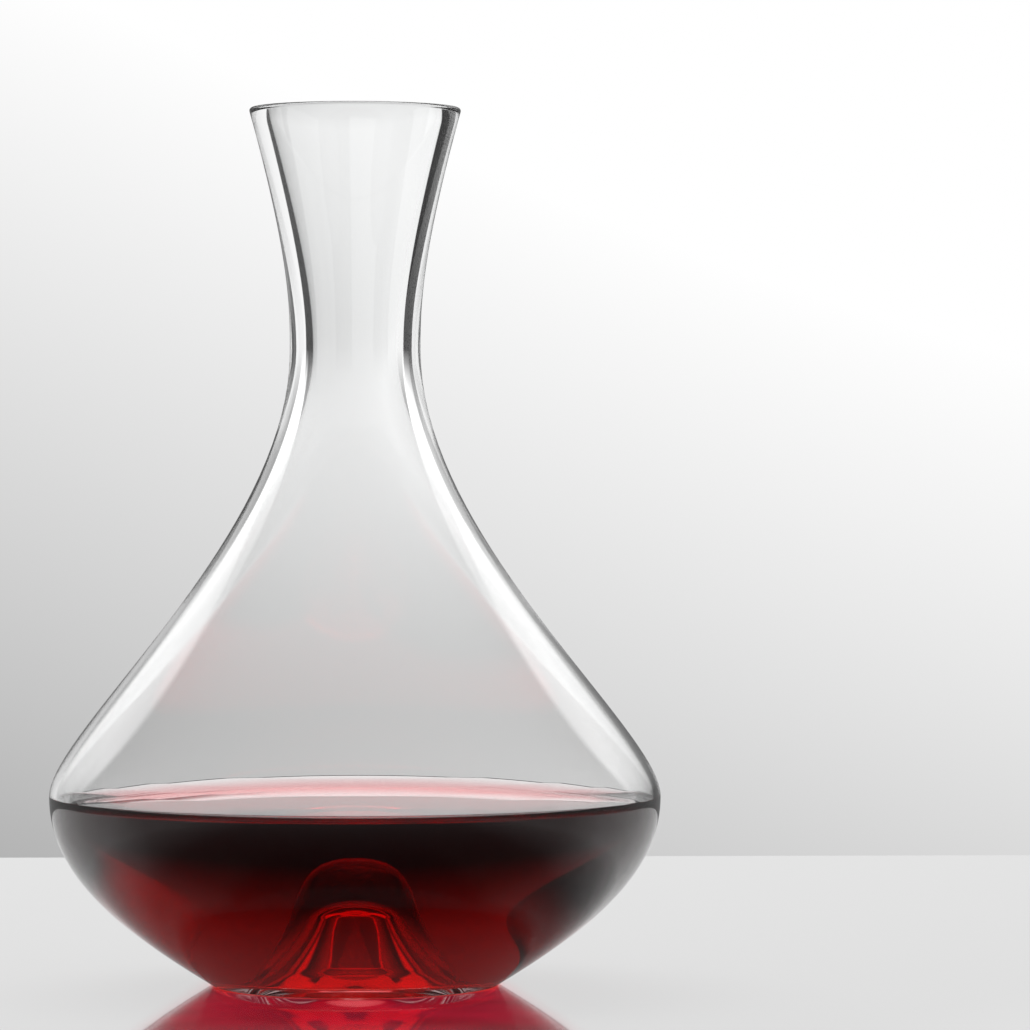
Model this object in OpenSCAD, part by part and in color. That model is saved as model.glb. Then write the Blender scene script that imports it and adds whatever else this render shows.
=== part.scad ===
// Wine decanter: one blown glass vessel with a pushed-up base, part filled with red wine.
// Every section is turned about the Z axis. The origin is on the table, on that axis.

/* [Height] */
// From the table to the top of the lip
height = 250; // [215:0.1:300]

/* [Foot] */
// Diameter of the ring that the decanter stands on
foot_d = 81; // [76:0.5:96]
// Width of the flat ground on that ring
foot_land = 3; // [1.5:0.1:5]
// Rounding at the outer edge of the ring
foot_round = 2; // [0.5:0.1:4]

/* [Bowl] */
// Outside diameter at the widest point
bowl_d = 174.2; // [150:0.5:200]
// Height of the widest point
bowl_z = 54; // [50:0.5:64]
// Glass at the widest point
bowl_wall = 2; // [1.4:0.1:3.5]
// Angle at which the bowl leaves the foot, in degrees from level
bowl_rise = 31.5; // [26:0.5:40]
// How far the bowl runs on along that angle before it turns up
bowl_run = 30.2; // [22:0.5:38]
// How far below the widest point the bowl begins to stand upright
bowl_turn = 22.6; // [16:0.5:30]

/* [Flank] */
// How far above the widest point the outside still stands upright
flank_turn = 18.4; // [12:0.1:28]
// The same on the inside
flank_turn_in = 16.4; // [10:0.1:28]
// How far below the waist the outside begins to stand upright
throat_turn = 53.2; // [40:0.1:64]
// The same on the inside
throat_turn_in = 42.8; // [34:0.1:64]

/* [Neck] */
// Outside diameter at the waist
neck_d = 37.3; // [34:0.1:46]
// Height of the waist
neck_z = 180.5; // [160:0.1:190]
// Glass at the waist
neck_wall = 6.6; // [3:0.1:8]
// How far above the waist the neck still stands upright
neck_turn = 10; // [5:0.1:16]

/* [Mouth] */
// Outside diameter of the lip
mouth_d = 60.8; // [54:0.1:72]
// Glass at the lip, measured level
mouth_wall = 5.2; // [3:0.1:7]
// Angle at which the mouth opens, in degrees from upright
mouth_flare = 15.5; // [8:0.5:24]
// How far below the lip the neck begins to open at that angle
mouth_run = 46.4; // [36:0.5:52]
// Rounding of the lip's two edges
lip_round = 0.9; // [0.4:0.1:1.4]

/* [Heel] */
// Glass between the bowl's inside and its foot
heel_wall = 3; // [2:0.1:4]
// Where that glass is measured, along the bowl from the foot
heel_run = 5; // [4:0.1:8]
// How far the bowl's inside runs on down into the trough
trough_run = 6; // [3:0.1:8]
// How far the side of the punt runs on down into the trough
trough_rise = 3.5; // [2:0.1:8]

/* [Punt] */
// Height of the punt's crown, seen from inside the bowl
punt_h = 45; // [40:0.1:48]
// Diameter at the foot of its straight side
punt_base_d = 46; // [40:0.5:56]
// Height at the foot of its straight side
punt_base_z = 19; // [14:0.1:24]
// Diameter at the top of its straight side
punt_top_d = 28; // [20:0.1:32]
// Height at the top of its straight side
punt_top_z = 37.5; // [33:0.1:39]
// How far the straight side runs on into the crown
crown_run = 5; // [2:0.1:7]
// Half of the crown's flat middle
crown_flat = 11; // [3:0.1:13]
// Glass at the foot of the straight side
punt_base_wall = 3.8; // [2.5:0.1:5]
// Glass at the top of the straight side
punt_top_wall = 5; // [3:0.1:6.5]
// Glass under the crown
crown_wall = 6; // [4:0.1:8]
// How far the hollow's side runs on into its crown
hollow_run = 3; // [1:0.1:4]
// Half of the hollow's flat middle
hollow_flat = 4; // [2:0.1:5]
// How far the hollow's side runs on down towards the foot
hollow_drop = 7; // [3:0.1:10]
// How far the foot's underside stays level before it turns up into the hollow
foot_curl = 4; // [2:0.1:6]

/* [Wine] */
// Height of the wine's surface
wine_z = 51.6; // [50:0.1:58]
// How far the wine climbs the glass at its edge
wine_climb = 2.1; // [0.5:0.1:2.5]
// Distance over which that climb dies away
wine_climb_run = 2; // [1:0.1:3]
// Clearance between the wine and the glass
wine_gap = 0.2; // [0.1:0.05:0.5]

/* [Hidden] */
$fn = 128;

// Pieces in each curved stretch of a section
long_steps = 36;
short_steps = 16;
round_steps = 6;
// Points closer than this are the same point
same_point = 0.001;
// The climb of the wine is drawn over this many times its run
climb_spans = 4;

foot_r = foot_d / 2;
bowl_r = bowl_d / 2;
neck_r = neck_d / 2;
mouth_r = mouth_d / 2;

// Places on the outside
foot_corner = [foot_r, 0];
bowl_side = [bowl_r, bowl_z];
neck_side = [neck_r, neck_z];
mouth_corner = [mouth_r, height];

// Places on the inside
bowl_inside = [bowl_r - bowl_wall, bowl_z];
neck_inside = [neck_r - neck_wall, neck_z];
mouth_inside = [mouth_r - mouth_wall, height];
heel_inside = foot_corner + polar(heel_run, bowl_rise) + polar(heel_wall, bowl_rise + 90);

// Places on the punt, and on the hollow under it
punt_base = [punt_base_d / 2, punt_base_z];
punt_top = [punt_top_d / 2, punt_top_z];
punt_angle = angle_to(punt_base, punt_top);
hollow_base = punt_base + polar(punt_base_wall, punt_angle + 90);
hollow_top = punt_top + polar(punt_top_wall, punt_angle + 90);
hollow_angle = angle_to(hollow_base, hollow_top);

// Where the roundings of the foot and of the lip begin
foot_tangent = foot_round * tan(bowl_rise / 2);
lip_tangent_out = lip_round / tan((90 - mouth_flare) / 2);
lip_tangent_in = lip_round / tan((90 + mouth_flare) / 2);
flare_angle = 90 - mouth_flare;
land_edge = [foot_r - foot_tangent - foot_land, 0];

function polar(length, angle) = length * [cos(angle), sin(angle)];

function angle_to(from, to) = atan2(to[1] - from[1], to[0] - from[0]);

function reversed(points) = [for (i = [len(points) - 1 : -1 : 0]) points[i]];

// A smooth curve from start to end, drawn towards the two pulls
function curve(start, pull_a, pull_b, end, steps) = [
    for (i = [0 : steps])
        let (t = i / steps, u = 1 - t)
        u * u * u * start + 3 * u * u * t * pull_a + 3 * u * t * t * pull_b + t * t * t * end
];

function arc(centre, radius, from, to) = [
    for (i = [0 : round_steps])
        centre + polar(radius, from + (to - from) * i / round_steps)
];

// The outside, from the foot's ring up to the lip
foot_edge = arc([foot_r - foot_tangent, foot_round], foot_round, -90, bowl_rise - 90);

bowl_start = foot_corner + polar(foot_tangent, bowl_rise);
outer_bowl = curve(
    bowl_start,
    foot_corner + polar(bowl_run, bowl_rise),
    bowl_side - [0, bowl_turn],
    bowl_side,
    long_steps
);

outer_flank = curve(
    bowl_side,
    bowl_side + [0, flank_turn],
    neck_side - [0, throat_turn],
    neck_side,
    long_steps
);

outer_neck = curve(
    neck_side,
    neck_side + [0, neck_turn],
    mouth_corner - polar(mouth_run, flare_angle),
    mouth_corner - polar(lip_tangent_out, flare_angle),
    long_steps
);

lip = concat(
    arc([mouth_r - lip_tangent_out, height - lip_round], lip_round, -mouth_flare, 90),
    arc([mouth_inside[0] + lip_tangent_in, height - lip_round], lip_round, 90, 180 - mouth_flare)
);

// The inside, from the crown of the punt out to the trough and up to the lip
crown = curve(
    [0, punt_h],
    [crown_flat, punt_h],
    punt_top + polar(crown_run, punt_angle),
    punt_top,
    short_steps
);

trough = curve(
    punt_base,
    punt_base - polar(trough_rise, punt_angle),
    heel_inside - polar(trough_run, bowl_rise),
    heel_inside,
    short_steps
);

inner_bowl = curve(
    heel_inside,
    heel_inside + polar(bowl_run - heel_run, bowl_rise),
    bowl_inside - [0, bowl_turn],
    bowl_inside,
    long_steps
);

inner_flank = curve(
    bowl_inside,
    bowl_inside + [0, flank_turn_in],
    neck_inside - [0, throat_turn_in],
    neck_inside,
    long_steps
);

inner_neck = curve(
    neck_inside,
    neck_inside + [0, neck_turn],
    mouth_inside - polar(mouth_run, flare_angle),
    mouth_inside - polar(lip_tangent_in, flare_angle),
    long_steps
);

// The hollow under the punt, from the foot's ring up to its crown
hollow_flare = curve(
    land_edge,
    land_edge - [foot_curl, 0],
    hollow_base - polar(hollow_drop, hollow_angle),
    hollow_base,
    short_steps
);

hollow_crown = curve(
    hollow_top,
    hollow_top + polar(hollow_run, hollow_angle),
    [hollow_flat, punt_h - crown_wall],
    [0, punt_h - crown_wall],
    short_steps
);

// The same point twice in a row, where two stretches meet, is kept once
function without_doubles(points) = [
    for (i = [0 : len(points) - 1])
        if (i == 0 || norm(points[i] - points[i - 1]) > same_point)
            points[i]
];

glass_inside = without_doubles(concat(crown, trough, inner_bowl, inner_flank, inner_neck));

glass_section = without_doubles(concat(
    foot_edge,
    outer_bowl,
    outer_flank,
    outer_neck,
    lip,
    reversed(glass_inside),
    reversed(hollow_crown),
    reversed(hollow_flare)
));

// Points moved to the left of the way they run, by the same distance all along
function shifted(points, distance) = [
    for (i = [0 : len(points) - 1])
        let (
            before = points[max(i - 1, 0)],
            after = points[min(i + 1, len(points) - 1)]
        )
        points[i] + polar(distance, angle_to(before, after) + 90)
];

// The room that wine can take: all that the glass leaves, less the clearance
room_wall = shifted(glass_inside, wine_gap);
room_crown = [0, punt_h + wine_gap];
room = concat(
    [room_crown],
    [for (p = room_wall) if (p[0] > wine_gap) p],
    [[0, height]]
);

// Radius of that room at a height above the trough
room_side = shifted(without_doubles(concat(inner_bowl, inner_flank)), wine_gap);
function room_r(z) = lookup(z, [for (p = room_side) [p[1], p[0]]]);

// Wine below its surface, which curls up where it wets the glass
wine_r = room_r(wine_z + wine_climb);
climb_reach = climb_spans * wine_climb_run;
wine_below = concat(
    [[0, 0], [bowl_d, 0], [bowl_d, wine_z + wine_climb]],
    [
        for (i = [0 : short_steps])
            let (inward = climb_reach * pow(i / short_steps, 2))
            [wine_r - inward, wine_z + wine_climb * exp(-inward / wine_climb_run)]
    ],
    [[wine_r - climb_reach, wine_z], [0, wine_z]]
);

module glass_vessel() {
    color([0.86, 0.9, 0.9, 0.35])
        rotate_extrude()
            polygon(glass_section);
}

module wine() {
    color([0.36, 0.01, 0.05])
        rotate_extrude()
            intersection() {
                polygon(room);
                polygon(wine_below);
            }
}

glass_vessel();
wine();
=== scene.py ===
import math

import bpy
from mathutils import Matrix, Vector


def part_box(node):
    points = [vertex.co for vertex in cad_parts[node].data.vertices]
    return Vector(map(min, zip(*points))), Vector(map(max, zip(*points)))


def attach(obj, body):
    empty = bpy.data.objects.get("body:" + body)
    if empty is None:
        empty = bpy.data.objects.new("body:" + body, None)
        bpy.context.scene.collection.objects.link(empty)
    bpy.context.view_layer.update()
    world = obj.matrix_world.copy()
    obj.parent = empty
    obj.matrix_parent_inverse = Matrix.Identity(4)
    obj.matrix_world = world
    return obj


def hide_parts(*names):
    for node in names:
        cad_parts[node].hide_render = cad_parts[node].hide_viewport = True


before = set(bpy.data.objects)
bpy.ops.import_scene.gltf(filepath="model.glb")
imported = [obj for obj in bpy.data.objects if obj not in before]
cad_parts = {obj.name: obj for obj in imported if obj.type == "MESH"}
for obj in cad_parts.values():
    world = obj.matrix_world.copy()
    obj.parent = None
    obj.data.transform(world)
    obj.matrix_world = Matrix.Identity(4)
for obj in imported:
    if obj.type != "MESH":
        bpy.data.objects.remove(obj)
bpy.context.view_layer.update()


# Glass vessel: foot ring, punt, bowl, flanks, neck and mouth in one piece of clear glass.
# It is blown and turned on its axis, so one outline gives the whole vessel, and its wall runs thin over the
# bowl and thick in the neck. The base is pushed up into a hollow punt, and the lip is fire polished.
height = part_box("glass_vessel")[1].z
foot_radius = 0.0405
foot_land = 0.003
foot_round = 0.002
bowl_radius = 0.0871
bowl_height = 0.054
bowl_wall = 0.002
bowl_rise = math.radians(31.5)
bowl_run = 0.0302
bowl_turn = 0.0226
flank_turn = 0.0184
flank_turn_inside = 0.0164
throat_turn = 0.0532
throat_turn_inside = 0.0428
neck_radius = 0.01865
neck_height = 0.1805
neck_wall = 0.0066
neck_turn = 0.010
mouth_radius = 0.0304
mouth_wall = 0.0052
mouth_flare = math.radians(15.5)
mouth_run = 0.0464
lip_round = 0.0009
heel_wall = 0.003
heel_run = 0.005
trough_run = 0.006
trough_rise = 0.0035
punt_height = 0.045
punt_base_radius = 0.023
punt_base_height = 0.019
punt_top_radius = 0.014
punt_top_height = 0.0375
crown_run = 0.005
crown_flat = 0.011
punt_base_wall = 0.0038
punt_top_wall = 0.005
crown_wall = 0.006
hollow_run = 0.003
hollow_flat = 0.004
hollow_drop = 0.007
foot_curl = 0.004
wet_level = 0.0537
halvings = 40
points_around = 257
long_points = 37
short_points = 25
round_points = 7
flat_points = 3
no_swell = 0.0
weld_distance = 2e-6
crease_angle = math.radians(60)


def place(radius, level):
    """A point of the outline, at a distance from the axis and a height over the table."""
    return Vector((radius, 0.0, level))


def along(length, angle):
    """A step of that length in the plane of the outline, at an angle from level."""
    return Vector((length * math.cos(angle), 0.0, length * math.sin(angle)))


def angle_between(start, end):
    """The angle from level of the way from one point of the outline to another."""
    return math.atan2(end.z - start.z, end.x - start.x)


def straight(start, end):
    """A straight stretch, as the four points of a curve."""
    return (start, start.lerp(end, 1 / 3), start.lerp(end, 2 / 3), end)


def rounding(start, end, first_angle, last_angle, radius):
    """A round edge of that radius that turns left from one direction to the other."""
    pull = 4 / 3 * math.tan((last_angle - first_angle) / 4) * radius
    return (start, start + along(pull, first_angle), end - along(pull, last_angle), end)


def backwards(stretch):
    """The same stretch, run from its end to its start."""
    return tuple(reversed(stretch))


flare_angle = math.pi / 2 - mouth_flare
foot_tangent = foot_round * math.tan(bowl_rise / 2)
lip_tangent_out = lip_round / math.tan(flare_angle / 2)
lip_tangent_in = lip_round * math.tan(flare_angle / 2)

foot_corner = place(foot_radius, 0.0)
bowl_side = place(bowl_radius, bowl_height)
neck_side = place(neck_radius, neck_height)
mouth_corner = place(mouth_radius, height)
bowl_inside = place(bowl_radius - bowl_wall, bowl_height)
neck_inside = place(neck_radius - neck_wall, neck_height)
mouth_inside = place(mouth_radius - mouth_wall, height)
heel_inside = foot_corner + along(heel_run, bowl_rise) + along(heel_wall, bowl_rise + math.pi / 2)
punt_base = place(punt_base_radius, punt_base_height)
punt_top = place(punt_top_radius, punt_top_height)
punt_angle = angle_between(punt_base, punt_top)
hollow_base = punt_base + along(punt_base_wall, punt_angle + math.pi / 2)
hollow_top = punt_top + along(punt_top_wall, punt_angle + math.pi / 2)
hollow_angle = angle_between(hollow_base, hollow_top)
hollow_crest = place(0.0, punt_height - crown_wall)
land_start = foot_corner - along(foot_tangent + foot_land, 0.0)
land_end = foot_corner - along(foot_tangent, 0.0)
bowl_start = foot_corner + along(foot_tangent, bowl_rise)
lip_start = mouth_corner - along(lip_tangent_out, flare_angle)
lip_outer = mouth_corner - along(lip_tangent_out, 0.0)
lip_inner = mouth_inside + along(lip_tangent_in, 0.0)
lip_end = mouth_inside - along(lip_tangent_in, flare_angle)
up = place(0.0, 1.0)

outer_bowl = (
    bowl_start,
    foot_corner + along(bowl_run, bowl_rise),
    bowl_side - bowl_turn * up,
    bowl_side,
)
outer_flank = (
    bowl_side,
    bowl_side + flank_turn * up,
    neck_side - throat_turn * up,
    neck_side,
)
outer_neck = (
    neck_side,
    neck_side + neck_turn * up,
    mouth_corner - along(mouth_run, flare_angle),
    lip_start,
)
inner_neck = (
    neck_inside,
    neck_inside + neck_turn * up,
    mouth_inside - along(mouth_run, flare_angle),
    lip_end,
)
inner_flank = (
    bowl_inside,
    bowl_inside + flank_turn_inside * up,
    neck_inside - throat_turn_inside * up,
    neck_inside,
)
inner_bowl = (
    heel_inside,
    heel_inside + along(bowl_run - heel_run, bowl_rise),
    bowl_inside - bowl_turn * up,
    bowl_inside,
)
trough = (
    punt_base,
    punt_base - along(trough_rise, punt_angle),
    heel_inside - along(trough_run, bowl_rise),
    heel_inside,
)
punt_side = straight(punt_top, punt_base)
crown = (
    place(0.0, punt_height),
    place(crown_flat, punt_height),
    punt_top + along(crown_run, punt_angle),
    punt_top,
)
hollow_crown = (
    hollow_crest,
    hollow_crest + along(hollow_flat, 0.0),
    hollow_top + along(hollow_run, hollow_angle),
    hollow_top,
)
hollow_side = straight(hollow_top, hollow_base)
hollow_flare = (
    hollow_base,
    hollow_base - along(hollow_drop, hollow_angle),
    land_start - along(foot_curl, 0.0),
    land_start,
)


def part_of(stretch, share):
    """The first share of a curved stretch, as a stretch of its own."""
    start, first_pull, second_pull, end = stretch
    first_leg = start.lerp(first_pull, share)
    middle_leg = first_pull.lerp(second_pull, share)
    last_leg = second_pull.lerp(end, share)
    early = first_leg.lerp(middle_leg, share)
    late = middle_leg.lerp(last_leg, share)
    return (start, first_leg, early, early.lerp(late, share))


def cut_at(stretch, level):
    """A rising stretch in two, cut at a height over the table."""
    low, high = 0.0, 1.0
    for _ in range(halvings):
        middle = (low + high) / 2
        if part_of(stretch, middle)[3].z < level:
            low = middle
        else:
            high = middle
    return part_of(stretch, low), backwards(part_of(backwards(stretch), 1.0 - low))


wet_flank, dry_flank = cut_at(inner_flank, wet_level)


def add_node(tree, kind, **settings):
    """A new node in a tree, with its own settings."""
    node = tree.nodes.new(kind)
    for name, value in settings.items():
        setattr(node, name, value)
    return node


def turning_tree():
    """The nodes that turn a curved stretch of an outline about the axis, and add it to what is there."""
    tree = bpy.data.node_groups.new("Turned stretch", "GeometryNodeTree")
    sockets = (
        ("Geometry", "NodeSocketGeometry"),
        ("Start", "NodeSocketVector"),
        ("First pull", "NodeSocketVector"),
        ("Second pull", "NodeSocketVector"),
        ("End", "NodeSocketVector"),
        ("Swell", "NodeSocketFloat"),
        ("Points along", "NodeSocketInt"),
        ("Points around", "NodeSocketInt"),
        ("Material", "NodeSocketMaterial"),
    )
    for name, kind in sockets:
        tree.interface.new_socket(name, in_out="INPUT", socket_type=kind)
    tree.interface.new_socket("Geometry", in_out="OUTPUT", socket_type="NodeSocketGeometry")
    link = tree.links.new
    given = add_node(tree, "NodeGroupInput")

    # A flat sheet: across it runs the angle round the axis, up it the way along the stretch.
    sheet_length = 1.0
    sheet = add_node(tree, "GeometryNodeMeshGrid")
    sheet.inputs["Size X"].default_value = 2 * math.pi
    sheet.inputs["Size Y"].default_value = sheet_length
    link(given.outputs["Points around"], sheet.inputs["Vertices X"])
    link(given.outputs["Points along"], sheet.inputs["Vertices Y"])
    position = add_node(tree, "GeometryNodeInputPosition")
    apart = add_node(tree, "ShaderNodeSeparateXYZ")
    link(position.outputs["Position"], apart.inputs["Vector"])
    share = add_node(tree, "ShaderNodeMath", operation="ADD")
    share.inputs[1].default_value = sheet_length / 2
    link(apart.outputs["Y"], share.inputs[0])

    def between(first, second):
        """The point at the same share of the way from the first point to the second."""
        mix = add_node(tree, "ShaderNodeMix", data_type="VECTOR", clamp_factor=False)
        link(share.outputs["Value"], mix.inputs[0])
        link(first, mix.inputs[4])
        link(second, mix.inputs[5])
        return mix.outputs[1]

    first_leg = between(given.outputs["Start"], given.outputs["First pull"])
    middle_leg = between(given.outputs["First pull"], given.outputs["Second pull"])
    last_leg = between(given.outputs["Second pull"], given.outputs["End"])
    early = between(first_leg, middle_leg)
    late = between(middle_leg, last_leg)
    on_outline = between(early, late)

    # The stretch may lie a little outside its outline, which is drawn in the XZ plane.
    outline_normal = (0.0, 1.0, 0.0)
    heading = add_node(tree, "ShaderNodeVectorMath", operation="SUBTRACT")
    link(late, heading.inputs[0])
    link(early, heading.inputs[1])
    outwards = add_node(tree, "ShaderNodeVectorMath", operation="CROSS_PRODUCT")
    outwards.inputs[0].default_value = outline_normal
    link(heading.outputs["Vector"], outwards.inputs[1])
    outward_step = add_node(tree, "ShaderNodeVectorMath", operation="NORMALIZE")
    link(outwards.outputs["Vector"], outward_step.inputs[0])
    swelling = add_node(tree, "ShaderNodeVectorMath", operation="SCALE")
    link(outward_step.outputs["Vector"], swelling.inputs[0])
    link(given.outputs["Swell"], swelling.inputs["Scale"])
    swollen = add_node(tree, "ShaderNodeVectorMath", operation="ADD")
    link(on_outline, swollen.inputs[0])
    link(swelling.outputs["Vector"], swollen.inputs[1])

    turned = add_node(tree, "ShaderNodeVectorRotate", rotation_type="Z_AXIS")
    link(swollen.outputs["Vector"], turned.inputs["Vector"])
    link(apart.outputs["X"], turned.inputs["Angle"])
    placed = add_node(tree, "GeometryNodeSetPosition")
    link(sheet.outputs["Mesh"], placed.inputs["Geometry"])
    link(turned.outputs["Vector"], placed.inputs["Position"])
    real = add_node(tree, "GeometryNodeRealizeInstances")
    link(placed.outputs["Geometry"], real.inputs["Geometry"])
    finished = add_node(tree, "GeometryNodeSetMaterial")
    link(real.outputs["Geometry"], finished.inputs["Geometry"])
    link(given.outputs["Material"], finished.inputs["Material"])
    joined = add_node(tree, "GeometryNodeJoinGeometry")
    link(given.outputs["Geometry"], joined.inputs["Geometry"])
    link(finished.outputs["Geometry"], joined.inputs["Geometry"])
    result = add_node(tree, "NodeGroupOutput")
    link(joined.outputs["Geometry"], result.inputs["Geometry"])
    return tree


def welding_tree():
    """The nodes that weld turned stretches into one closed skin, smooth but for its creases."""
    tree = bpy.data.node_groups.new("Welded skin", "GeometryNodeTree")
    sockets = (
        ("Geometry", "NodeSocketGeometry"),
        ("Weld distance", "NodeSocketFloat"),
        ("Crease angle", "NodeSocketFloat"),
    )
    for name, kind in sockets:
        tree.interface.new_socket(name, in_out="INPUT", socket_type=kind)
    tree.interface.new_socket("Geometry", in_out="OUTPUT", socket_type="NodeSocketGeometry")
    link = tree.links.new
    given = add_node(tree, "NodeGroupInput")
    welded = add_node(tree, "GeometryNodeMergeByDistance")
    link(given.outputs["Geometry"], welded.inputs["Geometry"])
    link(given.outputs["Weld distance"], welded.inputs["Distance"])
    smooth = add_node(tree, "GeometryNodeSetShadeSmooth", domain="FACE")
    link(welded.outputs["Geometry"], smooth.inputs["Geometry"])
    fold = add_node(tree, "GeometryNodeInputMeshEdgeAngle")
    is_crease = add_node(tree, "FunctionNodeCompare", data_type="FLOAT", operation="GREATER_THAN")
    link(fold.outputs["Unsigned Angle"], is_crease.inputs[0])
    link(given.outputs["Crease angle"], is_crease.inputs[1])
    creased = add_node(tree, "GeometryNodeSetShadeSmooth", domain="EDGE")
    creased.inputs["Shade Smooth"].default_value = False
    link(smooth.outputs["Geometry"], creased.inputs["Geometry"])
    link(is_crease.outputs["Result"], creased.inputs["Selection"])
    result = add_node(tree, "NodeGroupOutput")
    link(creased.outputs["Geometry"], result.inputs["Geometry"])
    return tree


turned_stretch = turning_tree()
welded_skin = welding_tree()


def add_nodes_modifier(piece, tree, values):
    """A Geometry Nodes modifier whose inputs are set by the names of its sockets."""
    modifier = piece.modifiers.new(tree.name, "NODES")
    modifier.node_group = tree
    for socket in tree.interface.items_tree:
        if socket.item_type == "SOCKET" and socket.in_out == "INPUT" and socket.name in values:
            modifier[socket.identifier] = values[socket.name]


def turned_piece(name, stretches):
    """A piece turned from stretches, each with its four points, its points along, a swell and a finish."""
    piece = bpy.data.objects.new(name, bpy.data.meshes.new(name))
    bpy.context.scene.collection.objects.link(piece)
    for (start, first_pull, second_pull, end), points_along, swell, finish in stretches:
        values = {
            "Start": tuple(start),
            "First pull": tuple(first_pull),
            "Second pull": tuple(second_pull),
            "End": tuple(end),
            "Swell": swell,
            "Points along": points_along,
            "Points around": points_around,
            "Material": finish,
        }
        add_nodes_modifier(piece, turned_stretch, values)
    welding = {"Weld distance": weld_distance, "Crease angle": crease_angle}
    add_nodes_modifier(piece, welded_skin, welding)
    evaluated = piece.evaluated_get(bpy.context.evaluated_depsgraph_get())
    turned = bpy.data.meshes.new_from_object(evaluated)
    piece.modifiers.clear()
    turned.materials.pop(index=0)
    piece.data = turned
    turned.name = name
    return piece


glass_refraction = 1.52
clear_tint = (0.992, 0.998, 0.997, 1.0)
full_clear = (1.0, 1.0, 1.0, 1.0)
no_mirror = (0.0, 0.0, 0.0, 1.0)
streak_scale = 30.0
streak_stretch = 0.2
ripple_scale = 22.0
ripple_depth = 0.00002


def new_material(name):
    """A material with an empty node tree but for its output, and a glossy surface linked to that."""
    material = bpy.data.materials.new(name)
    material.use_nodes = True
    material.node_tree.nodes.clear()
    output = add_node(material.node_tree, "ShaderNodeOutputMaterial")
    surface = add_node(material.node_tree, "ShaderNodeBsdfPrincipled")
    material.node_tree.links.new(surface.outputs["BSDF"], output.inputs["Surface"])
    return material, surface, output


def either_colour(tree, mask, without, with_it):
    """One colour where the mask is 0, and the other where it is 1."""
    node = add_node(tree, "ShaderNodeMix", data_type="RGBA")
    tree.links.new(mask, node.inputs[0])
    for socket, value in ((node.inputs[6], without), (node.inputs[7], with_it)):
        if isinstance(value, tuple):
            socket.default_value = value
        else:
            tree.links.new(value, socket)
    return node.outputs[2]


def glass_finish(name, mirror):
    """Clear glass with the faint streaks and ripples that blowing and turning leave in it."""
    material, surface, _ = new_material(name)
    tree = material.node_tree
    link = tree.links.new
    surface.inputs["Transmission Weight"].default_value = 1.0
    surface.inputs["IOR"].default_value = glass_refraction
    surface.inputs["Specular Tint"].default_value = mirror
    surface.inputs["Roughness"].default_value = 0.0
    coordinates = add_node(tree, "ShaderNodeTexCoord")
    drawn_out = add_node(tree, "ShaderNodeMapping")
    drawn_out.inputs["Scale"].default_value = (1.0, 1.0, streak_stretch)
    link(coordinates.outputs["Object"], drawn_out.inputs["Vector"])
    streaks = add_node(tree, "ShaderNodeTexNoise")
    streaks.inputs["Scale"].default_value = streak_scale
    link(drawn_out.outputs["Vector"], streaks.inputs["Vector"])
    tint = either_colour(tree, streaks.outputs["Fac"], clear_tint, full_clear)
    link(tint, surface.inputs["Base Color"])
    ripples = add_node(tree, "ShaderNodeTexNoise")
    ripples.inputs["Scale"].default_value = ripple_scale
    ripples.inputs["Detail"].default_value = 0.0
    link(coordinates.outputs["Object"], ripples.inputs["Vector"])
    relief = add_node(tree, "ShaderNodeBump")
    relief.inputs["Distance"].default_value = ripple_depth
    link(ripples.outputs["Fac"], relief.inputs["Height"])
    link(relief.outputs["Normal"], surface.inputs["Normal"])
    return material


dry_glass = glass_finish("blown_glass", full_clear)
wet_glass = glass_finish("wetted_glass", no_mirror)
foot_edge = rounding(land_end, bowl_start, 0.0, bowl_rise, foot_round)
lip_outer_edge = rounding(lip_start, lip_outer, flare_angle, math.pi, lip_round)
lip_inner_edge = rounding(lip_inner, lip_end, math.pi, math.pi + flare_angle, lip_round)
vessel = turned_piece(
    "decanter_glass",
    [
        (straight(land_start, land_end), flat_points, no_swell, dry_glass),
        (foot_edge, round_points, no_swell, dry_glass),
        (outer_bowl, long_points, no_swell, dry_glass),
        (outer_flank, long_points, no_swell, dry_glass),
        (outer_neck, long_points, no_swell, dry_glass),
        (lip_outer_edge, round_points, no_swell, dry_glass),
        (straight(lip_outer, lip_inner), flat_points, no_swell, dry_glass),
        (lip_inner_edge, round_points, no_swell, dry_glass),
        (backwards(inner_neck), long_points, no_swell, dry_glass),
        (backwards(dry_flank), long_points, no_swell, dry_glass),
        (backwards(wet_flank), flat_points, no_swell, wet_glass),
        (backwards(inner_bowl), long_points, no_swell, wet_glass),
        (backwards(trough), short_points, no_swell, wet_glass),
        (backwards(punt_side), round_points, no_swell, wet_glass),
        (backwards(crown), short_points, no_swell, wet_glass),
        (hollow_crown, short_points, no_swell, dry_glass),
        (hollow_side, round_points, no_swell, dry_glass),
        (hollow_flare, short_points, no_swell, dry_glass),
    ],
)
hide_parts("glass_vessel")
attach(vessel, "vessel")
vessel.visible_shadow = False


# Wine: the red wine in the bowl, up to the widest part of it.
# It lies against the glass all round and over the punt, and curls up in a narrow rim where it wets the
# wall. It is clear and dark red, so it glows where it is thin and goes black where it is deep.
wine_level = 0.0516
climb_start = 0.0012
climb_lean = math.radians(245)
climb_run = 0.003
climb_reach = 0.008
wetting = 0.00012
wine_refraction = 1.34
wine_mirror = (0.2, 0.2, 0.2, 1.0)
wine_absorption_tint = (0.925, 0.0, 0.03, 1.0)
wine_density = 200.0
wine_skin = (1.0, 0.985, 0.98, 1.0)
haze_scale = 45.0

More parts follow.
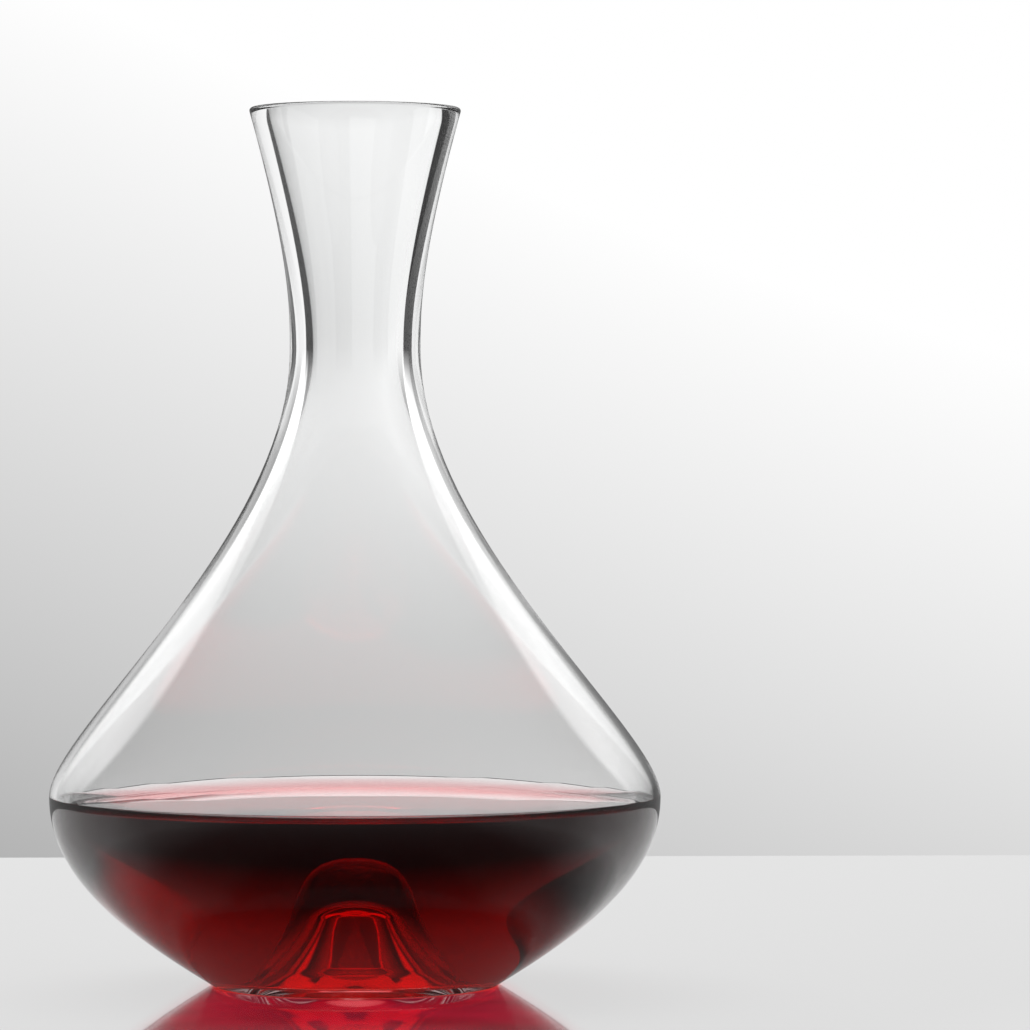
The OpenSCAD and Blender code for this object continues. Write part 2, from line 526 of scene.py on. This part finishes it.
wall_angle = angle_between(wet_flank[2], wet_flank[3])
wine_edge = wet_flank[3] + along(wetting, wall_angle - math.pi / 2)
climb_foot = place(wine_edge.x - climb_reach, wine_level)
wine_rim = (
    wine_edge,
    wine_edge + along(climb_start, climb_lean),
    climb_foot + along(climb_reach - climb_run, 0.0),
    climb_foot,
)


def wine_finish():
    """Clear red wine: the colour is in its depth, with a faint haze over its skin."""
    material, surface, output = new_material("wine_red")
    tree = material.node_tree
    link = tree.links.new
    surface.inputs["Transmission Weight"].default_value = 1.0
    surface.inputs["IOR"].default_value = wine_refraction
    surface.inputs["Specular Tint"].default_value = wine_mirror
    surface.inputs["Roughness"].default_value = 0.0
    coordinates = add_node(tree, "ShaderNodeTexCoord")
    haze = add_node(tree, "ShaderNodeTexNoise")
    haze.inputs["Scale"].default_value = haze_scale
    link(coordinates.outputs["Object"], haze.inputs["Vector"])
    skin = either_colour(tree, haze.outputs["Fac"], wine_skin, full_clear)
    link(skin, surface.inputs["Base Color"])
    depth = add_node(tree, "ShaderNodeVolumeAbsorption")
    depth.inputs["Color"].default_value = wine_absorption_tint
    depth.inputs["Density"].default_value = wine_density
    link(depth.outputs["Volume"], output.inputs["Volume"])
    return material


wine_red = wine_finish()
wine = turned_piece(
    "red_wine",
    [
        (crown, short_points, wetting, wine_red),
        (punt_side, round_points, wetting, wine_red),
        (trough, short_points, wetting, wine_red),
        (inner_bowl, long_points, wetting, wine_red),
        (wet_flank, flat_points, wetting, wine_red),
        (wine_rim, short_points, no_swell, wine_red),
        (straight(climb_foot, place(0.0, wine_level)), short_points, no_swell, wine_red),
    ],
)
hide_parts("wine")
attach(wine, "wine")


# Table: a plain white top with rounded corners, polished like a mirror, that the decanter stands on.
# Painted light lies on it: the red light that the wine lets through, under the foot and in a soft pool in
# front, over a painted shadow. Glass that mirrors the table, and wine that turns light down to it, find
# painted shade near the foot.
table_half = 0.464
table_corner = 0.2
table_thickness = 0.012
table_grey = 0.8
table_roughness = 0.04
mirror_share = 0.75
table_corners = 4
corner_steps = 24
# Painted shade in what glass mirrors of the table: dim in front, pale behind
shade_inner = 0.05
shade_outer = 0.16
shade_grey = 0.05
lit_grey = 0.85
# Painted red light under the foot, and then a painted pool of it in front, over a painted shadow
glow_radius = 0.0375
glow_edge = 0.005
glow_red = (1.0, 0.05, 0.03, 1.0)
glow_light = 0.5
shadow_half = 0.036
shadow_edge = 0.012
shadow_widening = 0.12
shadow_back = 0.015
shadow_back_edge = 0.03
shadow_end = 0.09
shadow_end_edge = 0.075
shadow_red = (0.17, 0.002, 0.014, 1.0)
shadow_grey = 0.2
shadow_cloud = 32.0
cloud_low = 0.3
cloud_high = 0.7
shadow_dim = 0.75
shadow_bright = 1.35
# Painted light and shade in what wine that turns light down shows of the table: a strip behind the foot, and
# a ring under the rim
behind_angle = math.radians(7.0)
behind_half = math.radians(13.0)
behind_edge = math.radians(11.0)
behind_light = 0.35
rim_ring = 0.135
rim_ring_half = 0.03
rim_ring_edge = 0.025
foot_clear = 0.08
foot_clear_edge = 0.04
# The faint painted glow of the table that the lower bowl mirrors
veil_light = 0.08
veil_start = 0.055
veil_end = 0.085
# Kinds of light are told apart by their bounces, and by the surfaces they have passed, two for each wall
one_bounce = 0.5
two_bounces = 1.5
one_wall = 2.5
two_walls = 4.5
wine_and_punt = 8.5


def table_top():
    """The slab of the table, with one rounded corner after another round its edge."""
    outline = []
    for turn in range(table_corners):
        middle = Vector((table_half - table_corner, table_half - table_corner))
        for step in range(corner_steps + 1):
            angle = math.pi / 2 * step / corner_steps
            point = middle + table_corner * Vector((math.cos(angle), math.sin(angle)))
            for _ in range(turn):
                point = Vector((-point.y, point.x))
            outline.append(point)
    count = len(outline)
    points = [(p.x, p.y, 0.0) for p in outline] + [(p.x, p.y, -table_thickness) for p in outline]
    sides = [(i, i + count, (i + 1) % count + count, (i + 1) % count) for i in range(count)]
    faces = [tuple(range(count)), tuple(reversed(range(count, 2 * count)))] + sides
    mesh = bpy.data.meshes.new("table_top")
    mesh.from_pydata(points, [], faces)
    table = bpy.data.objects.new("table_top", mesh)
    bpy.context.scene.collection.objects.link(table)
    return table


def worked_out(tree, operation, first, second=None, third=None):
    """A Math node on sockets or plain numbers."""
    node = add_node(tree, "ShaderNodeMath", operation=operation)
    for socket, value in zip(node.inputs, (first, second, third)):
        if isinstance(value, (int, float)):
            socket.default_value = value
        elif value is not None:
            tree.links.new(value, socket)
    return node.outputs["Value"]


def product(tree, first, *others):
    """All the values multiplied."""
    for other in others:
        first = worked_out(tree, "MULTIPLY", first, other)
    return first


def ray_kinds(tree):
    """Masks for the kinds of light that a surface of the studio is met by."""
    paths = add_node(tree, "ShaderNodeLightPath")
    passed = paths.outputs["Is Transmission Ray"]
    turned_back = paths.outputs["Is Reflection Ray"]
    direct = worked_out(tree, "MAXIMUM", paths.outputs["Is Camera Ray"], paths.outputs["Is Glossy Ray"])
    in_mirror = product(tree, turned_back, paths.outputs["Is Singular Ray"])
    bounces = paths.outputs["Glossy Depth"]
    bounced = worked_out(tree, "GREATER_THAN", bounces, one_bounce)
    walls_passed = paths.outputs["Transmission Depth"]
    in_one_wall = worked_out(tree, "LESS_THAN", walls_passed, one_wall)
    through_wine = worked_out(tree, "GREATER_THAN", walls_passed, two_walls)
    through_punt = worked_out(tree, "GREATER_THAN", walls_passed, wine_and_punt)
    return {
        "seen": worked_out(tree, "MAXIMUM", direct, passed),
        "bounced": bounced,
        "bounced_twice": worked_out(tree, "GREATER_THAN", bounces, two_bounces),
        "in_mirror": in_mirror,
        "on_table": worked_out(tree, "SUBTRACT", turned_back, in_mirror),
        "turned_in_wall": product(tree, passed, bounced, in_one_wall),
        "through_wine": through_wine,
        "turned_in_wine": product(tree, through_wine, bounced),
        "through_punt": through_punt,
    }


def ranged(tree, value, low, high, low_level, high_level, way="LINEAR"):
    """A value mapped from one range to another, and held at its ends."""
    node = add_node(tree, "ShaderNodeMapRange", interpolation_type=way)
    tree.links.new(value, node.inputs["Value"])
    node.inputs["From Min"].default_value = low
    node.inputs["From Max"].default_value = high
    node.inputs["To Min"].default_value = low_level
    node.inputs["To Max"].default_value = high_level
    return node.outputs["Result"]


def either(tree, mask, without, with_it):
    """One level where the mask is 0, and the other where it is 1."""
    node = add_node(tree, "ShaderNodeMix", data_type="FLOAT")
    tree.links.new(mask, node.inputs[0])
    for socket, value in ((node.inputs[2], without), (node.inputs[3], with_it)):
        if isinstance(value, float):
            socket.default_value = value
        else:
            tree.links.new(value, socket)
    return node.outputs[0]


def straight_behind(tree, across, away):
    """A mask for what stands behind the decanter, seen from the front, and a little to the right."""
    angle = worked_out(tree, "ARCTAN2", across, away)
    aside = worked_out(tree, "ABSOLUTE", worked_out(tree, "SUBTRACT", angle, behind_angle))
    return ranged(tree, aside, behind_half, behind_half + behind_edge, 1.0, 0.0, "SMOOTHSTEP")


def table_finish():
    """White gloss with painted light: the red glow of the wine and a painted shadow on it, and painted shade
    where glass and wine show it.
    """
    material, surface, _ = new_material("white_gloss")
    tree = material.node_tree
    link = tree.links.new
    coordinates = add_node(tree, "ShaderNodeTexCoord")
    apart = add_node(tree, "ShaderNodeSeparateXYZ")
    link(coordinates.outputs["Object"], apart.inputs["Vector"])
    across, away = apart.outputs["X"], apart.outputs["Y"]
    from_axis = add_node(tree, "ShaderNodeVectorMath", operation="LENGTH")
    link(coordinates.outputs["Object"], from_axis.inputs[0])
    radius = from_axis.outputs["Value"]
    kinds = ray_kinds(tree)

    # Painted shade: glass that mirrors the table finds it dark near the foot and pale behind.
    behind_foot = worked_out(tree, "ADD", away, radius)
    painted_mirror_shade = ranged(tree, behind_foot, shade_inner, shade_outer, shade_grey, lit_grey)
    # Painted shadow: a wedge in front of the foot, grey in the table's colour, where a red glow is painted
    # too.
    aside = worked_out(tree, "ABSOLUTE", across)
    spread = worked_out(tree, "MULTIPLY_ADD", away, shadow_widening, aside)
    beside = ranged(tree, spread, shadow_half, shadow_half + shadow_edge, 1.0, 0.0, "SMOOTHSTEP")
    in_front = ranged(tree, away, shadow_back, shadow_back + shadow_back_edge, 1.0, 0.0, "SMOOTHSTEP")
    near = ranged(tree, away, -shadow_end - shadow_end_edge, -shadow_end, 0.0, 1.0, "SMOOTHSTEP")
    shadow = product(tree, beside, in_front, near)
    # Painted shade for wine that turns light down: the table is dark but for a strip behind the foot, a ring
    # under the rim, and beyond the foot for light turned twice.
    view_behind = straight_behind(tree, across, away)
    off_ring = worked_out(tree, "ABSOLUTE", worked_out(tree, "SUBTRACT", radius, rim_ring))
    rim_ring_end = rim_ring_half + rim_ring_edge
    in_ring = ranged(tree, off_ring, rim_ring_half, rim_ring_end, 1.0, 0.0, "SMOOTHSTEP")
    in_back = ranged(tree, away, 0.0, rim_ring_edge, 0.0, 1.0)
    view_behind = worked_out(tree, "MAXIMUM", view_behind, product(tree, in_ring, in_back))
    painted_table_shade = ranged(tree, shadow, 0.0, 1.0, table_grey, shadow_grey)
    beyond_foot = ranged(tree, radius, foot_clear, foot_clear + foot_clear_edge, 0.0, 1.0)
    twice_beyond = product(tree, kinds["bounced_twice"], beyond_foot)
    view_behind = worked_out(tree, "MAXIMUM", view_behind, twice_beyond)
    painted_wine_shade = product(tree, view_behind, table_grey)
    painted_table_shade = either(tree, kinds["turned_in_wine"], painted_table_shade, painted_wine_shade)
    level = either(tree, kinds["in_mirror"], painted_table_shade, painted_mirror_shade)
    shade = add_node(tree, "ShaderNodeCombineColor")
    for channel in ("Red", "Green", "Blue"):
        link(level, shade.inputs[channel])
    # Painted red light under the foot, in the table's colour and in its glow.
    under = ranged(tree, radius, glow_radius, glow_radius + glow_edge, 1.0, 0.0)
    link(either_colour(tree, under, shade.outputs["Color"], glow_red), surface.inputs["Base Color"])
    surface.inputs["Roughness"].default_value = table_roughness
    surface.inputs["Metallic"].default_value = mirror_share

    # Painted glows: the strip behind for turned wine, and a blotchy red pool in the painted shadow, seen
    # straight on.
    behind = product(tree, view_behind, behind_light)
    glowing = product(tree, under, glow_light)
    clouds = add_node(tree, "ShaderNodeTexNoise")
    clouds.inputs["Scale"].default_value = shadow_cloud
    link(coordinates.outputs["Object"], clouds.inputs["Vector"])
    cloudy = ranged(tree, clouds.outputs["Fac"], cloud_low, cloud_high, shadow_dim, shadow_bright)
    plain = worked_out(tree, "SUBTRACT", 1.0, kinds["bounced"])
    shadow_glow = product(tree, shadow, cloudy, plain)
    red_light = either(tree, under, shadow_glow, glowing)
    lamp_light = either(tree, kinds["turned_in_wine"], red_light, behind)
    # Painted faint glow near the foot, for glass that mirrors the table.
    past_foot = worked_out(tree, "SUBTRACT", 1.0, under)
    mirrored = product(tree, kinds["in_mirror"], past_foot)
    veil = ranged(tree, radius, veil_start, veil_end, veil_light, 0.0)
    link(either(tree, mirrored, lamp_light, veil), surface.inputs["Emission Strength"])
    through = either_colour(tree, kinds["turned_in_wine"], shadow_red, full_clear)
    through = either_colour(tree, mirrored, through, full_clear)
    link(either_colour(tree, under, through, glow_red), surface.inputs["Emission Color"])
    return material


table = table_top()
table.data.materials.append(table_finish())


# Backdrop: a round wall of plain paper about the table, that glows with painted light, grey at table height
# and white above.
# It shows on its inside alone, so a camera outside looks through its near side. Its painted light leans to
# one side.
# Light that has come through the wine finds painted shade on it low down, and light by the punt a painted
# panel on each side.
wall_radius = 0.6
wall_bottom = -0.5
wall_top = 1.2
wall_grey = 0.43
wall_white = 1.0
grey_level = -0.082
white_level = 0.286
wall_lean = 0.125
lean_waves = 2.0
skirt_start = -0.05
skirt_end = -0.2
skirt_grey = 0.62
# Painted shade that light through the wine finds on the wall
shade_start = 0.11
shade_end = 0.2
shade_dark = 0.05
shade_light = 1.0
# Painted reflections: the wall as the table mirrors it, and its front as the glass mirrors it
table_sheen = 0.8
front_edge = 0.1
front_grey = 0.45
# Painted light that light by the punt finds: shade, with a painted panel on each side
punt_shade_start = 0.28
punt_shade_end = 0.33
punt_shade = 0.1
punt_box_start = math.radians(44.0)
punt_box_end = math.radians(69.0)
punt_box_edge = math.radians(6.0)
punt_box_low = 0.33
punt_box_fade = 0.07
punt_box_light = 1.7
# Painted glints that light turned in the wine finds
glint_start = 0.06
glint_end = 0.16
wine_glints = 0.4


def wall_finish():
    """Paper that glows with painted light, by its height and by the kind of light that meets it."""
    material = bpy.data.materials.new("backdrop_paper")
    material.use_nodes = True
    tree = material.node_tree
    tree.nodes.clear()
    link = tree.links.new
    coordinates = add_node(tree, "ShaderNodeTexCoord")
    apart = add_node(tree, "ShaderNodeSeparateXYZ")
    link(coordinates.outputs["Object"], apart.inputs["Vector"])
    level = apart.outputs["Z"]
    # Painted light on the wall: grey low down and white above, leaning to one side.
    angle = worked_out(tree, "ARCTAN2", apart.outputs["X"], apart.outputs["Y"])
    side = worked_out(tree, "SINE", product(tree, angle, lean_waves))
    leaning = worked_out(tree, "MULTIPLY_ADD", side, wall_lean, level)
    wall = ranged(tree, leaning, grey_level, white_level, wall_grey, wall_white)
    skirt = ranged(tree, level, skirt_end, skirt_start, skirt_grey, 0.0)
    kinds = ray_kinds(tree)
    # Painted reflections: the glass mirrors the front grey, and the table mirrors the wall with a painted
    # sheen.
    in_front = ranged(tree, apart.outputs["Y"], -front_edge, front_edge, 1.0, 0.0)
    off_table = worked_out(tree, "SUBTRACT", 1.0, kinds["on_table"])
    off_table = worked_out(tree, "MAXIMUM", off_table, kinds["bounced_twice"])
    turned_to_front = product(tree, in_front, kinds["bounced"], off_table)
    painted_wall_light = worked_out(tree, "MAXIMUM", wall, skirt)
    sheen = product(tree, kinds["on_table"], table_sheen)
    # Painted shade: light through the wine finds the wall dark low down.
    in_wine = ranged(tree, level, shade_start, shade_end, shade_dark, shade_light)
    # Painted shade and panels for light by the punt.
    in_punt = ranged(tree, level, punt_shade_start, punt_shade_end, shade_light, punt_shade)
    in_punt = worked_out(tree, "MINIMUM", in_wine, in_punt)
    aside = worked_out(tree, "ABSOLUTE", angle)
    past_start = ranged(tree, aside, punt_box_start, punt_box_start + punt_box_edge, 0.0, 1.0)
    before_end = ranged(tree, aside, punt_box_end, punt_box_end + punt_box_edge, 1.0, 0.0)
    over = ranged(tree, level, punt_box_low, punt_box_low + punt_box_fade, 0.0, punt_box_light)
    punt_box = product(tree, past_start, before_end, over)
    in_punt = worked_out(tree, "MAXIMUM", in_punt, punt_box)
    # Painted glints for light turned in the wine.
    glints = ranged(tree, level, glint_start, glint_end, shade_dark, wine_glints)
    view_behind = straight_behind(tree, apart.outputs["X"], apart.outputs["Y"])
    glints = worked_out(tree, "MAXIMUM", glints, view_behind)
    in_wine = either(tree, kinds["turned_in_wine"], in_wine, glints)
    in_wine = either(tree, kinds["through_punt"], in_wine, in_punt)
    in_air = worked_out(tree, "MAXIMUM", painted_wall_light, sheen)
    shown_level = either(tree, kinds["through_wine"], in_air, in_wine)
    shown_level = either(tree, turned_to_front, shown_level, front_grey)
    glow = add_node(tree, "ShaderNodeEmission")
    glow.inputs["Color"].default_value = full_clear
    link(shown_level, glow.inputs["Strength"])
    away = worked_out(tree, "MAXIMUM", kinds["in_mirror"], kinds["turned_in_wall"])
    inside = add_node(tree, "ShaderNodeNewGeometry").outputs["Backfacing"]
    shown = product(tree, inside, worked_out(tree, "SUBTRACT", kinds["seen"], away))
    unseen = add_node(tree, "ShaderNodeBsdfTransparent")
    choice = add_node(tree, "ShaderNodeMixShader")
    link(shown, choice.inputs[0])
    link(unseen.outputs["BSDF"], choice.inputs[1])
    link(glow.outputs["Emission"], choice.inputs[2])
    output = add_node(tree, "ShaderNodeOutputMaterial")
    link(choice.outputs["Shader"], output.inputs["Surface"])
    return material


wall_outline = straight(place(wall_radius, wall_bottom), place(wall_radius, wall_top))
wall = turned_piece("backdrop_wall", [(wall_outline, flat_points, no_swell, wall_finish())])


# Studio: a dim room with bright panels and dark flags round the set, and one soft lamp behind and above.
# Only light that is turned inside the glass meets the flags and panels, and so they draw its edges. What
# the glass mirrors is the dim room with two tall lights, and light by the punt finds a panel overhead.
flag_count = 4
flag_azimuth = math.radians(62.5)
flag_edge_start = 0.1
flag_edge_end = 0.3
flag_dark = 0.03
panel_white = 1.0
box_start = math.radians(22.0)
box_end = math.radians(49.0)
box_edge = math.radians(5.0)
box_light = 1.3
room_left = 0.13
room_right = 0.8
room_side = 0.45
room_turn = math.radians(6.0)
room_dim = 0.22
high_start = 1.5
high_end = 24.0
fill_light = 0.3
overhead_light = 1.3
sky_start = -5.0
sky_end = 5.0
sky_grey = 0.62
sky_white = 1.0


def studio_world():
    """The light from outside, chosen by its direction and by the kind of ray that meets it."""
    world = bpy.data.worlds.new("studio")
    bpy.context.scene.world = world
    world.use_nodes = True
    tree = world.node_tree
    tree.nodes.clear()
    link = tree.links.new
    coordinates = add_node(tree, "ShaderNodeTexCoord")
    apart = add_node(tree, "ShaderNodeSeparateXYZ")
    link(coordinates.outputs["Generated"], apart.inputs["Vector"])
    elevation = worked_out(tree, "DEGREES", worked_out(tree, "ARCSINE", apart.outputs["Z"]))
    azimuth = worked_out(tree, "ARCTAN2", apart.outputs["X"], apart.outputs["Y"])
    turns = worked_out(tree, "MULTIPLY_ADD", azimuth, float(flag_count), flag_count * flag_azimuth)
    flags = worked_out(tree, "COSINE", turns)
    panels = ranged(tree, flags, flag_edge_start, flag_edge_end, panel_white, flag_dark, "SMOOTHSTEP")
    aside = worked_out(tree, "ABSOLUTE", azimuth)
    front = ranged(tree, azimuth, -room_turn, room_turn, room_left, room_right)
    past_start = ranged(tree, aside, box_start, box_start + box_edge, 0.0, 1.0, "SMOOTHSTEP")
    before_end = ranged(tree, aside, box_end, box_end + box_edge, 1.0, 0.0, "SMOOTHSTEP")
    box = product(tree, past_start, before_end, box_light)
    boxes = worked_out(tree, "ADD", either(tree, past_start, front, room_side), box)
    high = ranged(tree, elevation, high_start, high_end, 0.0, 1.0)
    sky = ranged(tree, elevation, sky_start, sky_end, sky_grey, sky_white)
    kinds = ray_kinds(tree)
    level = either(tree, kinds["turned_in_wall"], sky, either(tree, high, panels, boxes))
    level = either(tree, kinds["in_mirror"], level, either(tree, high, room_dim, boxes))
    level = either(tree, kinds["through_punt"], level, overhead_light)
    level = either(tree, kinds["seen"], fill_light, level)
    background = add_node(tree, "ShaderNodeBackground")
    background.inputs["Color"].default_value = full_clear
    link(level, background.inputs["Strength"])
    output = add_node(tree, "ShaderNodeOutputWorld")
    link(background.outputs["Background"], output.inputs["Surface"])


studio_world()

lamp_size = 1.4
lamp_place = Vector((-0.15, 0.75, 1.0))
lamp_power = 19.0


def back_lamp():
    """A square soft lamp, aimed at the decanter, that is itself never seen."""
    light = bpy.data.lights.new("back_softbox", "AREA")
    light.shape = "SQUARE"
    light.size = lamp_size
    light.energy = lamp_power
    lamp = bpy.data.objects.new("back_softbox", light)
    lamp.location = lamp_place
    lamp.rotation_euler = lamp_place.to_track_quat("Z", "Y").to_euler()
    lamp.visible_camera = False
    lamp.visible_glossy = False
    lamp.visible_transmission = False
    bpy.context.scene.collection.objects.link(lamp)
    return lamp


back_lamp()


# Camera: a long lens at the height of the flanks, aimed a little past the decanter, as in the photo.
# Colours are shown as they are, and light may pass and turn often enough to get through all the glass.
frame_pixels = 1030
axis_column = 355.3
horizon_row = 450.0
lens_pixels = 5192.0
camera_distance = 1.4815
camera_height = 0.1525
sensor = 36.0
passes_allowed = 24
turns_allowed = 12

camera_data = bpy.data.cameras.new("camera")
camera_data.sensor_width = sensor
camera_data.lens = lens_pixels / frame_pixels * sensor
camera = bpy.data.objects.new("camera", camera_data)
camera.location = (0.0, -camera_distance, camera_height)
turn_right = math.atan((frame_pixels / 2 - axis_column) / lens_pixels)
tilt_down = math.atan((frame_pixels / 2 - horizon_row) / lens_pixels)
camera.rotation_euler = (math.pi / 2 - tilt_down, 0.0, -turn_right)
bpy.context.scene.collection.objects.link(camera)
bpy.context.scene.camera = camera

bpy.context.scene.view_settings.view_transform = "Standard"
bpy.context.scene.cycles.max_bounces = passes_allowed
bpy.context.scene.cycles.transmission_bounces = passes_allowed
bpy.context.scene.cycles.glossy_bounces = turns_allowed
